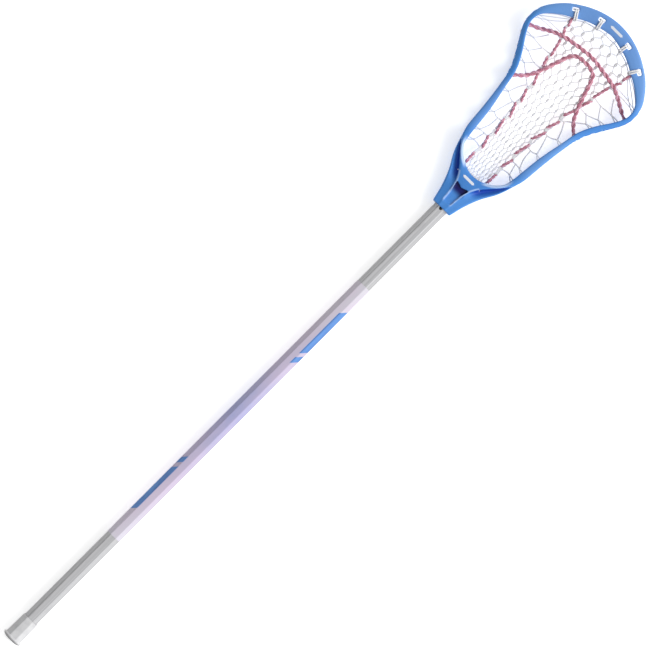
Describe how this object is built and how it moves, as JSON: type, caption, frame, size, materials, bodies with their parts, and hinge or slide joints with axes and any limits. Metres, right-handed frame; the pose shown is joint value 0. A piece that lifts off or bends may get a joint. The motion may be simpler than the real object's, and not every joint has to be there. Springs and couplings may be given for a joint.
{
  "type": "lacrosse stick",
  "caption": "Women's lacrosse stick: an octagonal metal handle with a printed wrap and a pull-off butt cap, and a moulded head with a scoop, strung with a mesh pocket and laces.",
  "frame": {"origin": "on the surface that the stick lies on, under the middle of its box", "axes": "+Y along the handle towards the scoop, +X to the right seen from the catching side, +Z out of the catching side"},
  "size_m": [0.1876, 1.097, 0.0469],
  "materials": {
    "head_nylon": "moulded satin gloss, sky blue",
    "handle_aluminium": "satin drawn tube",
    "handle_print": "printed film, pale lilac fading to periwinkle with blue bars",
    "cap_rubber": "pale grey moulded rubber",
    "screw_steel": "zinc plated",
    "mesh_white": "braided white polyester mesh",
    "cord_white": "braided white nylon cord",
    "lace_pink": "flat woven pink lace"
  },
  "bodies": {
    "stick": {"head_frame": "head_nylon", "head_screw": "screw_steel", "shaft_tube": "handle_aluminium", "shaft_wrap": "handle_print", "pocket_mesh": "mesh_white", "throat_string": "cord_white", "top_string": "cord_white", "side_string_left": "cord_white", "side_string_right": "cord_white", "runner_lace_left": "lace_pink", "runner_lace_right": "lace_pink", "shooting_string_upper": "lace_pink", "shooting_string_lower": "lace_pink"},
    "butt_cap": {"end_cap": "cap_rubber"}
  },
  "joints": [
    {"name": "cap_pull", "type": "slide", "parent": "stick", "child": "butt_cap", "axis": [0, -1, 0], "range_m": [0, 0.036]}
  ]
}
